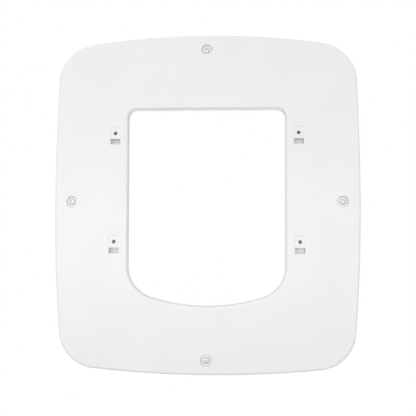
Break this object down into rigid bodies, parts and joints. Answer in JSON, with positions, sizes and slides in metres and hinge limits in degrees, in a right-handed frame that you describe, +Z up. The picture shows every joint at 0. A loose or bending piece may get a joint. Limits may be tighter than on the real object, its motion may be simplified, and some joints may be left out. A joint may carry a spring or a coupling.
{
  "type": "clamp-on mounting adaptor frame",
  "caption": "Flat white rounded-square adaptor frame with a large window, recessed clamp screws and a ribbed counter frame that clamps a panel between them.",
  "frame": {"origin": "midway between the four clamp screws, on the plane where the front frame's rim meets the panel", "axes": "+X right and +Z up as seen from the front, +Y from the front face through the panel to the rear frame"},
  "size_m": [0.2736, 0.0318, 0.3045],
  "materials": {
    "white_plastic": "satin moulded white ABS",
    "foam": "closed-cell foam",
    "nylon": "natural nylon",
    "plated_steel": "satin zinc plated",
    "black_steel": "blackened"
  },
  "bodies": {
    "front": {"front_frame": "white_plastic", "front_seal": "foam", "clamp_washer_top": "nylon", "clamp_washer_bottom": "nylon", "clamp_washer_left": "nylon", "clamp_washer_right": "nylon", "fixing_nut_upper_left": "black_steel", "fixing_nut_upper_right": "black_steel", "fixing_nut_lower_left": "black_steel", "fixing_nut_lower_right": "black_steel"},
    "rear": {"rear_frame": "white_plastic", "rear_seal": "foam", "clamp_nut_top": "plated_steel", "clamp_nut_bottom": "plated_steel", "clamp_nut_left": "plated_steel", "clamp_nut_right": "plated_steel"},
    "screw_top": {"clamp_screw_top": "plated_steel"},
    "screw_bottom": {"clamp_screw_bottom": "plated_steel"},
    "screw_left": {"clamp_screw_left": "plated_steel"},
    "screw_right": {"clamp_screw_right": "plated_steel"}
  },
  "joints": [
    {"name": "rear_slide", "type": "slide", "parent": "front", "child": "rear", "axis": [0, 1, 0], "range_m": [0, 0.0125]},
    {"name": "screw_top_turn", "type": "hinge", "parent": "front", "child": "screw_top", "pos_m": [0, 0, 0.139], "axis": [0, -1, 0], "range_deg": [0, 9001]},
    {"name": "screw_bottom_turn", "type": "hinge", "parent": "front", "child": "screw_bottom", "pos_m": [0, 0, -0.139], "axis": [0, -1, 0], "range_deg": [0, 9001]},
    {"name": "screw_left_turn", "type": "hinge", "parent": "front", "child": "screw_left", "pos_m": [-0.121, 0, 0], "axis": [0, -1, 0], "range_deg": [0, 9001]},
    {"name": "screw_right_turn", "type": "hinge", "parent": "front", "child": "screw_right", "pos_m": [0.121, 0, 0], "axis": [0, -1, 0], "range_deg": [0, 9001]}
  ],
  "couplings": [
    {"joint": "screw_top_turn", "follows": "rear_slide", "rad_per_m": 12566},
    {"joint": "screw_bottom_turn", "follows": "rear_slide", "rad_per_m": 12566},
    {"joint": "screw_left_turn", "follows": "rear_slide", "rad_per_m": 12566},
    {"joint": "screw_right_turn", "follows": "rear_slide", "rad_per_m": 12566}
  ]
}
